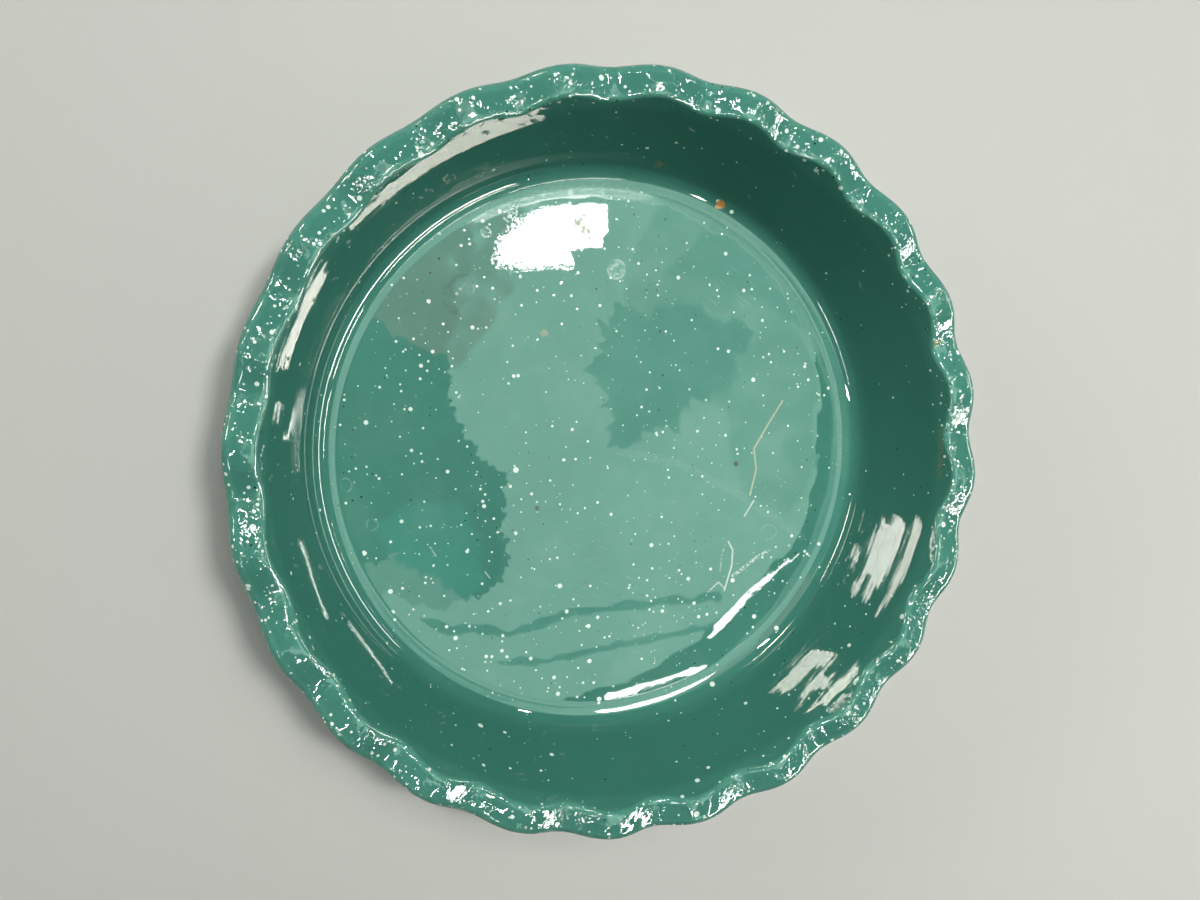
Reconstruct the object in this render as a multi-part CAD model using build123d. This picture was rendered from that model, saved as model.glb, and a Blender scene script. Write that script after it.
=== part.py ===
from build123d import *
import os
from math import cos, pi, radians, sin, tan
from typing import NamedTuple

# A deep pie dish with a fluted lip, one piece of glazed stoneware.
# Millimetres and degrees. The foot stands on z = 0, and Z is the dish's axis.

# Bowl
rim_radius = 133.0  # the lip's outer edge, halfway between crests and troughs
inside_depth = 46.0  # from the floor to the lip's mean top
wall_lean = 18.0  # the wall's angle from upright
wall_thickness = 5.5
floor_thickness = 5.5
cove_radius = 8.0  # where the inside of the wall turns into the floor

# Lip
lip_thickness = 6.0  # the outer edge is rounded over all of it
lip_overhang = 7.0  # how far the underside stands out from the wall
inner_rounding = 4.0  # where the lip's top turns down into the bowl
root_fillet = 4.0  # where the lip's underside meets the wall
least_flat = 0.5  # left between the outer edge and either of these curves where the lip is narrow

# Flutes
flute_count = 24
flute_rise = 2.2  # a crest stands this much over the mean lip, and a trough this much under it
edge_swell = 0.3  # the lip's outer edge lies this much further out on a crest
inner_swell = 1.0  # the lip's inner edge does so by this much
inside_reach = 12.0  # the flutes fade out this far down the inside of the wall
outside_reach = 6.0  # and this far down the outside
root_share = 0.3  # of the flutes that is left where the lip's root meets the wall

# Foot
foot_height = 2.0
foot_width = 6.0
foot_draft = 1.0  # each side of the foot slopes by this much over its height
foot_inset = 3.5  # from the end of the heel's curve to the foot

# Fineness of the curves
points_per_flute = 4
plain_steps = 4  # round the heel and the cove
fluted_steps = 3  # round the lip's root and its inner edge
edge_steps = 4
fade_steps = 2  # down the inside of the wall

# Directions in the profile, seen from the centre of a curve
up = pi / 2
down = -pi / 2
inward = pi

lean = radians(wall_lean)
floor_height = foot_height + floor_thickness
lip_top = floor_height + inside_depth
lip_underside = lip_top - lip_thickness
edge_rounding = lip_thickness / 2
edge_centre = rim_radius - edge_rounding
heel_radius = cove_radius + wall_thickness


def outer_wall(height):
    """The radius of the wall's plain outside at a height."""
    return rim_radius - lip_overhang - (lip_underside - height) * tan(lean)


def inner_wall(height):
    """The radius of the wall's plain inside at a height."""
    return outer_wall(height) - wall_thickness / cos(lean)


class Station(NamedTuple):
    """A corner of the profile, with the share of the flutes that it takes and how far they swell it outwards."""

    radius: float
    height: float
    share: float = 0.0
    swell: float = 0.0


def curve(centre, radius, start, end, steps, shares=(0.0, 0.0), swell=0.0):
    """The stations of a round stretch of the profile, with a share that runs evenly between two values."""
    stations = []
    for step in range(steps + 1):
        way = step / steps
        turn = start + (end - start) * way
        share = shares[0] + (shares[1] - shares[0]) * way
        stations.append(Station(centre[0] + radius * cos(turn), centre[1] + radius * sin(turn), share, swell))
    return stations


def fitting_radius(wished, wall):
    """The radius of a curve between the lip and a side of the wall, or less where the lip has no room for it."""
    return min(wished, (edge_centre - least_flat - wall) / (1 / cos(lean) - tan(lean)))


def ring(station):
    """The closed line round the dish through a station, plain or fluted."""
    if station.share == 0:
        return Wire([Edge.make_circle(station.radius, Plane((0, 0, station.height)))])
    points = []
    count = flute_count * points_per_flute
    for index in range(count):
        angle = 2 * pi * index / count
        wave = station.share * cos(flute_count * angle)
        radius = station.radius + station.swell * wave
        points.append(Vector(radius * cos(angle), radius * sin(angle), station.height + flute_rise * wave))
    return Wire([Edge.make_spline(points, periodic=True)])


def heel():
    """The outside of the dish's bottom corner, from the base up to the wall."""
    centre_height = foot_height + heel_radius
    centre = (outer_wall(centre_height) - heel_radius / cos(lean), centre_height)
    return curve(centre, heel_radius, down, -lean, plain_steps)


def lip_root():
    """The hollow curve under the lip, in which the flutes come up, with the wall below it where they start."""
    radius = fitting_radius(root_fillet, outer_wall(lip_underside))
    centre_height = lip_underside - radius
    centre = (outer_wall(centre_height) + radius / cos(lean), centre_height)
    hollow = curve(centre, radius, inward - lean, up, fluted_steps, (root_share, 1.0), edge_swell)
    start_height = hollow[0].height - outside_reach
    return [Station(outer_wall(start_height), start_height)] + hollow


def lip_edge():
    """The lip's round outer edge, from its underside over to its top."""
    centre = (edge_centre, lip_top - edge_rounding)
    return curve(centre, edge_rounding, down, up, edge_steps, (1.0, 1.0), edge_swell)


def lip_inside():
    """The lip's turn down into the bowl, with the wall below it where the flutes fade out."""
    radius = fitting_radius(inner_rounding, inner_wall(lip_top))
    centre_height = lip_top - radius
    centre = (inner_wall(centre_height) + radius / cos(lean), centre_height)
    turn = curve(centre, radius, up, inward - lean, fluted_steps, (1.0, 1.0), inner_swell)
    fade = []
    for step in range(1, fade_steps + 1):
        way = step / fade_steps
        height = turn[-1].height - inside_reach * way
        fade.append(Station(inner_wall(height), height, 1 - way, inner_swell))
    return turn + fade


def cove():
    """The inside of the dish's bottom corner, from the wall down to the floor."""
    centre_height = floor_height + cove_radius
    centre = (inner_wall(centre_height) - cove_radius / cos(lean), centre_height)
    return curve(centre, cove_radius, -lean, down, plain_steps)


def foot():
    """The unglazed ring that the dish stands on."""
    outer = heel()[0].radius - foot_inset
    inner = outer - foot_width
    corners = [
        (outer, foot_height),
        (outer - foot_draft, 0),
        (inner + foot_draft, 0),
        (inner, foot_height),
    ]
    return revolve(Plane.XZ * Polygon(*corners, align=None), Axis.Z)


def dish():
    """The whole dish: straight strips between the rings of the profile, from the base round to the floor."""
    profile = heel() + lip_root() + lip_edge() + lip_inside() + cove()
    body = Solid.make_loft([ring(station) for station in profile], ruled=True)
    return body + foot()


os.makedirs("parts", exist_ok=True)
export_step(dish(), "parts/stoneware_dish.step")
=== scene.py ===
import logging
from dataclasses import dataclass
from enum import Enum
from math import cos, pi, radians, sin, tan
from typing import Callable, Mapping, NamedTuple, Optional, Sequence, Union

import bpy
import numpy as np
from mathutils import Matrix, Vector


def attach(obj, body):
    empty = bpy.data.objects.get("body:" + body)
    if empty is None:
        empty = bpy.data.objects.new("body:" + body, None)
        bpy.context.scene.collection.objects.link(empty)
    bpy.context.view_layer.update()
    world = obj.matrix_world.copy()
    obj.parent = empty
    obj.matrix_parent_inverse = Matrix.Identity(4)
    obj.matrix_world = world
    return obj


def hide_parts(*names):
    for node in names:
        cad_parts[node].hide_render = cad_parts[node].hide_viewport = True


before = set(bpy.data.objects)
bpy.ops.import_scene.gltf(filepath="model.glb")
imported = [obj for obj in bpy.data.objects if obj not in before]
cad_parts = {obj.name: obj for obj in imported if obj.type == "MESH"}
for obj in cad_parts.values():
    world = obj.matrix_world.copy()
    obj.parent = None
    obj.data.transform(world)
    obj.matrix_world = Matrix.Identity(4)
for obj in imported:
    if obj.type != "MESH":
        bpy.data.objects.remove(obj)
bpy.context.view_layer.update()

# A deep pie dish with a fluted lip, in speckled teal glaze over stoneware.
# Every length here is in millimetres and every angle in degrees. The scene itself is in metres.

DISH_NODE = "stoneware_dish"
BODY = "root"
BAKE_MAP = "OFBake"
MM = 0.001
FULL_TURN = 2 * pi

# The sockets of a Mix node that are used for colours, by their numbers.
MIX_COLOUR_FIRST = 6
MIX_COLOUR_SECOND = 7
MIX_COLOUR_RESULT = 2

Colour = tuple[float, float, float]
Place = tuple[float, float, float]
Pair = tuple[float, float]
Corners = tuple[int, ...]
Source = Union["Signal", bpy.types.NodeSocket, float, tuple]
Number = Union["Signal", float]

NO_SHIFT: Place = (0.0, 0.0, 0.0)


# Shader expressions


class Signal:
    """A value that changes over a surface. Arithmetic on it adds Math nodes."""

    def __init__(self, board: "Board", socket: bpy.types.NodeSocket) -> None:
        """Wraps an output of a node on a board."""
        self.board = board
        self.socket = socket

    def __add__(self, other: Number) -> "Signal":
        """This plus another."""
        return self.board.maths("ADD", self, other)

    def __radd__(self, other: Number) -> "Signal":
        """Another plus this."""
        return self.board.maths("ADD", other, self)

    def __sub__(self, other: Number) -> "Signal":
        """This less another."""
        return self.board.maths("SUBTRACT", self, other)

    def __rsub__(self, other: Number) -> "Signal":
        """Another less this."""
        return self.board.maths("SUBTRACT", other, self)

    def __mul__(self, other: Number) -> "Signal":
        """This times another."""
        return self.board.maths("MULTIPLY", self, other)

    def __rmul__(self, other: Number) -> "Signal":
        """Another times this."""
        return self.board.maths("MULTIPLY", other, self)

    def __truediv__(self, other: Number) -> "Signal":
        """This divided by another."""
        return self.board.maths("DIVIDE", self, other)

    def __lt__(self, other: Number) -> "Signal":
        """One where this is less than another, and nought elsewhere."""
        return self.board.maths("LESS_THAN", self, other)

    def __abs__(self) -> "Signal":
        """This without its sign."""
        return self.board.maths("ABSOLUTE", self)

    def sine(self) -> "Signal":
        """The sine of this, in radians."""
        return self.board.maths("SINE", self)

    def larger(self, other: Number) -> "Signal":
        """The larger of this and another."""
        return self.board.maths("MAXIMUM", self, other)

    def rising(self, low: Number, high: Number) -> "Signal":
        """Nought where this is under low, one where it is over high, and smooth between.

        Args:
            low: Where the rise starts.
            high: Where it ends.

        Returns:
            The smooth step.
        """
        settings = {"interpolation_type": "SMOOTHSTEP"}
        sockets = {"Value": self, "From Min": low, "From Max": high}
        return self.board.value("ShaderNodeMapRange", settings, sockets, "Result")

    def falling(self, low: Number, high: Number) -> "Signal":
        """One where this is under low, nought where it is over high, and smooth between."""
        return 1.0 - self.rising(low, high)


class Board:
    """The nodes of one material or world."""

    def __init__(self, tree: bpy.types.NodeTree) -> None:
        """Takes over a node tree and empties it."""
        self.tree = tree
        tree.nodes.clear()

    def feed(self, target: bpy.types.NodeSocket, source: Source) -> None:
        """Links an input, or sets its value.

        Args:
            target: The input.
            source: A signal, a socket, a number, a colour or a vector.
        """
        if isinstance(source, Signal):
            self.tree.links.new(source.socket, target)
        elif isinstance(source, bpy.types.NodeSocket):
            self.tree.links.new(source, target)
        elif isinstance(source, tuple) and target.type == "RGBA":
            target.default_value = (*source, 1.0)
        else:
            target.default_value = source

    def node(
        self,
        kind: str,
        settings: Mapping[str, object],
        sockets: Mapping[Union[str, int], Source],
    ) -> bpy.types.Node:
        """Adds a node of any kind.

        Args:
            kind: The node's type.
            settings: Its properties by name, which are set first.
            sockets: What each input gets, by the input's name or number.

        Returns:
            The node.
        """
        made = self.tree.nodes.new(kind)
        for name, setting in settings.items():
            setattr(made, name, setting)
        for name, source in sockets.items():
            self.feed(made.inputs[name], source)
        return made

    def value(
        self,
        kind: str,
        settings: Mapping[str, object],
        sockets: Mapping[Union[str, int], Source],
        output: Union[str, int] = 0,
    ) -> Signal:
        """Adds a node and takes one of its outputs, by name or number, as a signal."""
        return Signal(self, self.node(kind, settings, sockets).outputs[output])

    def maths(self, operation: str, *terms: Number) -> Signal:
        """One Math node on up to three terms."""
        return self.value("ShaderNodeMath", {"operation": operation}, dict(enumerate(terms)))

    def vector(self, operation: str, *terms: Source) -> bpy.types.NodeSocket:
        """One Vector Math node on up to two vectors."""
        sockets = dict(enumerate(terms))
        return self.node("ShaderNodeVectorMath", {"operation": operation}, sockets).outputs["Vector"]

    def scaled(self, vector: Source, size: Number) -> bpy.types.NodeSocket:
        """A vector times a number."""
        sockets = {0: vector, "Scale": size}
        return self.node("ShaderNodeVectorMath", {"operation": "SCALE"}, sockets).outputs["Vector"]

    def length(self, vector: Source) -> Signal:
        """How long a vector is."""
        return self.value("ShaderNodeVectorMath", {"operation": "LENGTH"}, {0: vector}, "Value")

    def dot(self, vector: Source, other: Source) -> Signal:
        """The dot product of two vectors."""
        sockets = {0: vector, 1: other}
        return self.value("ShaderNodeVectorMath", {"operation": "DOT_PRODUCT"}, sockets, "Value")

    def blended(self, first: Source, second: Source, share: Number) -> bpy.types.NodeSocket:
        """A colour between two others, where the share says how much of the second shows."""
        sockets = {"Factor": share, MIX_COLOUR_FIRST: first, MIX_COLOUR_SECOND: second}
        return self.node("ShaderNodeMix", {"data_type": "RGBA"}, sockets).outputs[MIX_COLOUR_RESULT]

    def noise(self, point: Source, size: float, detail: float = 1.0, shift: Place = NO_SHIFT) -> Signal:
        """Soft random patches from about 0 to 1, with 0.5 between.

        Args:
            point: The place on the surface.
            size: How far apart the patches are, in the point's own unit.
            detail: How many finer sizes are added.
            shift: Moves the pattern, so that two of one size differ.

        Returns:
            The value.
        """
        moved = self.vector("ADD", point, shift)
        sockets = {"Vector": moved, "Scale": 1 / size, "Detail": detail}
        return self.value("ShaderNodeTexNoise", {}, sockets, "Fac")


def new_material(name: str) -> tuple[bpy.types.Material, Board]:
    """Makes an empty material.

    Args:
        name: The material's name.

    Returns:
        The material, and the board of its nodes.
    """
    material = bpy.data.materials.new(name)
    material.use_nodes = True
    return material, Board(material.node_tree)


class Surface(NamedTuple):
    """What a finish may read about a place on the dish.

    The mesh tells the last four: one on the inside, how thin or pooled the glaze lies over the bends, and
    how far along the section the place is.
    """

    point: bpy.types.NodeSocket
    flat: bpy.types.NodeSocket
    height: Signal
    radius: Signal
    inside: Signal
    thin: Signal
    pooled: Signal
    along: Signal


# Finishes


@dataclass(frozen=True)
class Clouds:
    """Soft random patches in a finish, and the levels of the noise between which they come up."""

    size: float
    low: float
    high: float
    detail: float = 1.0
    shift: Place = NO_SHIFT

    def over(self, board: Board, point: Source) -> Signal:
        """Nought between the patches, and one within them."""
        return board.noise(point, self.size, self.detail, self.shift).rising(self.low, self.high)


@dataclass(frozen=True)
class Waver:
    """How a line wanders: how far apart its bends are, and how far from end to end it goes."""

    size: float
    reach: float
    detail: float = 1.0

    def over(self, board: Board, point: Source) -> Signal:
        """How far the line lies to one side."""
        return (board.noise(point, self.size, self.detail) - 0.5) * self.reach


class Band(NamedTuple):
    """A stretch of a measure: where it starts and is full, and where it fades and ends."""

    start: float
    full: float
    fade: float
    end: float

    def over(self, measure: Signal) -> Signal:
        """One within the band."""
        return measure.rising(self.start, self.full) * measure.falling(self.fade, self.end)


def facing(board: Board, spot: Surface, direction: float) -> Signal:
    """One straight towards a side, which is given as its direction, and minus one away from it."""
    turn = radians(direction)
    return board.dot(spot.flat, (cos(turn), sin(turn), 0.0)) / spot.radius


@dataclass(frozen=True)
class Flecks:
    """Round flecks that lie scattered through the glaze.

    A fleck is a small ball, so where the surface cuts it away from its middle it shows smaller.
    """

    spacing: float
    largest: float
    share: float
    colour: Colour
    shift: Place
    edge: float = 0.10
    smallest: float = 0.45

    def spread(self, board: Board, point: Source, crowding: Number) -> tuple[Signal, Signal]:
        """Scatters the flecks.

        Args:
            board: The material's board.
            point: The place on the surface.
            crowding: Scales the share of the places that hold a fleck.

        Returns:
            One inside a fleck, and how far up the fleck's dome the place is, from nought to one.
        """
        moved = board.vector("ADD", point, self.shift)
        sockets = {"Vector": moved, "Scale": 1 / self.spacing}
        cells = board.node("ShaderNodeTexVoronoi", {}, sockets)
        chance = board.node("ShaderNodeSeparateColor", {}, {"Color": cells.outputs["Color"]})
        distance = Signal(board, cells.outputs["Distance"]) * self.spacing
        size = self.largest * (self.smallest + (1 - self.smallest) * Signal(board, chance.outputs["Green"]))
        there = Signal(board, chance.outputs["Red"]) < crowding * self.share
        inward = size - distance
        return there * inward.rising(0.0, self.edge), there * inward.rising(0.0, self.largest)


@dataclass(frozen=True)
class Stroke:
    """A scratch, or the grey line that a metal tool leaves, along a bent line on the floor.

    Its middle is full and its edge soft, each given as a share of its width, and it is worn away in places.
    """

    corners: tuple[Pair, ...]
    width: float
    strength: float
    broken: float = 0.0
    colour: Colour = (0.62, 0.70, 0.64)
    middle: float = 0.25
    edge: float = 0.6
    wear_size: float = 1.1
    wear_softness: float = 0.25

    def mask(self, board: Board, spot: Surface) -> Signal:
        """Where the stroke shows.

        Args:
            board: The material's board.
            spot: The place on the surface.

        Returns:
            The stroke's strength, or nought away from it.
        """
        nearest: Optional[Signal] = None
        for start, end in zip(self.corners, self.corners[1:]):
            run = Vector((end[0] - start[0], end[1] - start[1], 0.0))
            offset = board.vector("SUBTRACT", spot.flat, (start[0], start[1], 0.0))
            way = board.dot(offset, tuple(run / run.length_squared))
            held = board.value("ShaderNodeClamp", {}, {"Value": way})
            foot = board.scaled(tuple(run), held)
            gap = board.length(board.vector("SUBTRACT", offset, foot))
            nearest = gap if nearest is None else board.maths("MINIMUM", nearest, gap)
        worn_below = self.broken / 2
        wear = Clouds(self.wear_size, worn_below, worn_below + self.wear_softness, detail=2.0)
        shape = nearest.falling(self.width * self.middle, self.width * self.edge)
        return shape * wear.over(board, spot.point) * self.strength


@dataclass(frozen=True)
class WaterRing:
    """The chalky edge that a drop of water leaves as it dries.

    Its waver, its film and its gaps are given as shares of how far across it is.
    """

    centre: Pair
    across: float
    strength: float
    stretch: float = 1.0
    filled: float = 0.0
    waver: float = 0.35
    gaps: float = 0.5
    gap_levels: Pair = (0.35, 0.6)
    film: Pair = (0.3, 0.55)
    line: Pair = (0.10, 0.55)
    grain: Clouds = Clouds(size=0.9, low=0.4, high=0.65, detail=2.0)

    def mask(self, board: Board, spot: Surface) -> Signal:
        """Where the ring shows.

        Args:
            board: The material's board.
            spot: The place on the surface.

        Returns:
            The ring's strength, or nought away from it.
        """
        offset = board.vector("SUBTRACT", spot.flat, (*self.centre, 0.0))
        squeezed = board.vector("MULTIPLY", offset, (self.stretch, 1.0, 1.0))
        wobble = Waver(self.across, self.across * self.waver).over(board, spot.point)
        distance = board.length(squeezed) + wobble
        patchy = Clouds(self.across * self.gaps, *self.gap_levels, detail=2.0).over(board, spot.point)
        full, end = (self.across * share for share in self.film)
        film = distance.falling(full, end) * self.grain.over(board, spot.point) * self.filled
        return (abs(distance - self.across / 2).falling(*self.line) * patchy + film) * self.strength


@dataclass(frozen=True)
class Stain:
    """A small baked-on spot. Its middle and its edge are shares of how far across it is."""

    centre: Place
    across: float
    colour: Colour
    strength: float
    ragged: float = 0.4
    dull: float = 0.7
    middle: float = 0.32
    edge: float = 0.55

    def mask(self, board: Board, spot: Surface) -> Signal:
        """Where the spot shows.

        Args:
            board: The material's board.
            spot: The place on the surface.

        Returns:
            The spot's strength, or nought away from it.
        """
        gap = board.length(board.vector("SUBTRACT", spot.point, self.centre))
        wobble = Waver(self.across / 2, self.across * 2 * self.ragged, detail=2.0).over(board, spot.point)
        return (gap + wobble).falling(self.across * self.middle, self.across * self.edge) * self.strength


@dataclass(frozen=True)
class Scuff:
    """A patch of fine scratches that run side by side."""

    centre: Pair
    reach: float
    direction: float
    strength: float
    scratch_length: float = 9.0
    scratch_width: float = 0.42
    sparse: Pair = (0.62, 0.76)
    edge_size: float = 0.6

    def mask(self, board: Board, spot: Surface) -> Signal:
        """Where the scratches show.

        Args:
            board: The material's board.
            spot: The place on the surface.

        Returns:
            The scratches' strength, or nought away from the patch.
        """
        turn = radians(self.direction)
        along = board.dot(spot.flat, (cos(turn), sin(turn), 0.0))
        across = board.dot(spot.flat, (-sin(turn), cos(turn), 0.0))
        sockets = {"X": along / self.scratch_length, "Y": across / self.scratch_width}
        grain = board.node("ShaderNodeCombineXYZ", {}, sockets).outputs["Vector"]
        lines = Clouds(1.0, *self.sparse, shift=(self.reach, 0.0, 0.0)).over(board, grain)
        offset = board.length(board.vector("SUBTRACT", spot.flat, (*self.centre, 0.0)))
        wobble = Waver(self.reach * self.edge_size, self.reach).over(board, spot.point)
        return lines * (offset + wobble).falling(self.reach / 2, self.reach) * self.strength


@dataclass(frozen=True)
class BareClay:
    """The unglazed stoneware of the foot's resting face."""

    light: Colour = (0.50, 0.42, 0.31)
    dark: Colour = (0.33, 0.26, 0.18)
    grit: Colour = (0.12, 0.09, 0.07)
    roughness: float = 0.85
    mottling: Clouds = Clouds(size=9.0, low=0.3, high=0.7, detail=3.0)
    mottled: float = 0.6
    specks: Clouds = Clouds(size=0.8, low=0.68, high=0.75)
    speckled: float = 0.8
    line_height: float = 1.15
    line_softness: float = 0.15
    line_waver: Waver = Waver(size=5.0, reach=1.0, detail=2.0)

    def colour(self, board: Board, spot: Surface) -> bpy.types.NodeSocket:
        """The clay's colour, mottled and with dark grit in it."""
        mottled = board.blended(self.light, self.dark, self.mottling.over(board, spot.point) * self.mottled)
        return board.blended(mottled, self.grit, self.specks.over(board, spot.point) * self.speckled)

    def mask(self, board: Board, spot: Surface) -> Signal:
        """Where there is no glaze: under a wavering line round the foot."""
        height = spot.height + self.line_waver.over(board, spot.point)
        return height.falling(self.line_height - self.line_softness, self.line_height + self.line_softness)


@dataclass(frozen=True)
class GlazeColour:
    """The glaze's own colours, which go lighter where it runs thin and darker where it gathers; the inner
    walls are also darkened as painted shade.
    """

    deep: Colour = (0.056, 0.222, 0.176)
    clear: Colour = (0.072, 0.264, 0.210)
    thinned: Colour = (0.112, 0.365, 0.285)
    # Darker teal for glaze pooled in hollow bends, also used as painted shade on the inner walls.
    pooled_and_shaded: Colour = (0.040, 0.180, 0.140)
    clouds: Clouds = Clouds(size=38.0, low=0.25, high=0.75, detail=2.0)
    cloudy: float = 0.7
    mottling: Clouds = Clouds(size=5.0, low=0.3, high=0.7, detail=3.0, shift=(90.0, 0.0, 0.0))
    mottled: float = 0.3
    breaking: Clouds = Clouds(size=3.5, low=0.25, high=0.7, detail=3.0, shift=(0.0, 60.0, 0.0))
    thinned_least: float = 0.25
    thinned_more: float = 0.35
    # Painted shade: the inner walls between these heights take the darker colour, standing in for the shade
    # that falls on them.
    wall: Band = Band(start=11.0, full=18.0, fade=45.0, end=50.0)
    wall_painted_shade: float = 0.6
    pool_deepening: float = 0.5

    def colour(self, board: Board, spot: Surface) -> bpy.types.NodeSocket:
        """The glaze's colour without flecks or marks, with the inner walls darkened as painted shade.

        Args:
            board: The material's board.
            spot: The place on the surface.

        Returns:
            The colour's socket.
        """
        clouds = self.clouds.over(board, spot.point) * self.cloudy
        clouds = clouds + self.mottling.over(board, spot.point) * self.mottled
        colour = board.blended(self.deep, self.clear, clouds)
        thinning = self.thinned_least + self.thinned_more * self.breaking.over(board, spot.point)
        colour = board.blended(colour, self.thinned, spot.thin * thinning)
        # Painted shade on the inner walls, joined with the darkening where glaze pools in hollow bends.
        wall = spot.inside * self.wall.over(spot.height)
        pooling_and_painted_shade = (spot.pooled * self.pool_deepening).larger(wall * self.wall_painted_shade)
        return board.blended(colour, self.pooled_and_shaded, pooling_and_painted_shade)


@dataclass(frozen=True)
class Crowding:
    """How thickly the flecks lie: most on the floor, in loose drifts, and least on the walls."""

    drifts: Clouds = Clouds(size=45.0, low=0.3, high=0.72, shift=(0.0, 0.0, 50.0))
    between_drifts: float = 0.45
    in_drifts: float = 1.1
    clusters: Clouds = Clouds(size=9.0, low=0.4, high=0.65, shift=(0.0, 20.0, 0.0))
    between_clusters: float = 0.8
    in_clusters: float = 2.4
    on_walls: float = 0.30
    on_floor: float = 0.70
    lip: Pair = (48.5, 51.5)

    def over(self, board: Board, spot: Surface, floor: Signal) -> Signal:
        """The crowding.

        Args:
            board: The material's board.
            spot: The place on the surface.
            floor: One on the floor of the bowl.

        Returns:
            What the flecks' share is multiplied by.
        """
        drifts = self.between_drifts + self.in_drifts * self.drifts.over(board, spot.point)
        clusters = self.between_clusters + self.in_clusters * self.clusters.over(board, spot.point)
        return drifts * (self.on_walls + self.on_floor * floor) + clusters * spot.height.rising(*self.lip)


@dataclass(frozen=True)
class Tide:
    """The chalky band round part of the floor's edge, with a brighter line where the water stood."""

    direction: float = 48.0
    side: Pair = (0.3, 0.8)
    line_side: Pair = (0.6, 0.9)
    start: float = 97.0
    waver: Waver = Waver(size=14.0, reach=9.0, detail=3.0)
    rise: float = 1.5
    end: Pair = (103.5, 106.5)
    grain: Clouds = Clouds(size=1.6, low=0.3, high=0.75, detail=3.0)
    least: float = 0.05
    grained: float = 0.08
    line_middle: float = 0.9
    line_edge: Pair = (0.1, 0.7)
    line_strength: float = 0.14

    def mask(self, board: Board, spot: Surface) -> Signal:
        """Where the band shows.

        Args:
            board: The material's board.
            spot: The place on the surface.

        Returns:
            The band's strength, or nought away from it.
        """
        waver = self.waver.over(board, spot.point)
        side = facing(board, spot, self.direction)
        reach = (spot.radius + waver - self.start) * side.rising(*self.side)
        band = reach.rising(0.0, self.rise) * spot.radius.falling(*self.end)
        grain = self.least + self.grained * self.grain.over(board, spot.point)
        bright = abs(reach - self.line_middle).falling(*self.line_edge)
        return spot.inside * (band * grain + bright * self.line_strength * side.rising(*self.line_side))


@dataclass(frozen=True)
class Unevenness:
    """The small hills of the glaze. Their heights are in millimetres."""

    swell_size: float = 20.0
    swell_height: float = 0.014
    peel_size: float = 1.6
    peel_height: float = 0.0009
    turning_lines: float = 5.2
    turning_waver: float = 25.0
    turning_drift: float = 9.0
    turning_height: float = 0.0006
    lip_radius: Pair = (121.0, 123.5)
    lip_height: Pair = (46.0, 48.0)
    lump_size: float = 2.0
    lump_least: float = 0.04
    lump_more: float = 0.36
    lump_crowds: Clouds = Clouds(size=8.0, low=0.42, high=0.62, shift=(0.0, 20.0, 0.0))
    fleck_height: float = 0.03

    def normal(self, board: Board, spot: Surface, raised: Number) -> bpy.types.NodeSocket:
        """The unevenness, as a normal.

        Args:
            board: The material's board.
            spot: The place on the surface.
            raised: How far up a fleck's dome the place is.

        Returns:
            The normal's socket.
        """
        swell = board.noise(spot.point, self.swell_size, shift=(3.0, 0.0, 0.0)) * self.swell_height
        peel = board.noise(spot.point, self.peel_size, shift=(0.0, 3.0, 0.0)) * self.peel_height
        drift = board.noise(spot.point, self.turning_waver) * self.turning_drift
        lines = (spot.along * (FULL_TURN / self.turning_lines) + drift).sine() * self.turning_height
        lip = spot.radius.rising(*self.lip_radius) * spot.height.rising(*self.lip_height)
        crowd = self.lump_least + self.lump_more * self.lump_crowds.over(board, spot.point)
        lumps = board.noise(spot.point, self.lump_size, shift=(0.0, 0.0, 9.0)) * crowd * lip
        height = swell + peel + lines + lumps + raised * self.fleck_height
        sockets = {"Height": height, "Distance": MM, "Strength": 1.0}
        return board.node("ShaderNodeBump", {}, sockets).outputs["Normal"]


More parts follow.
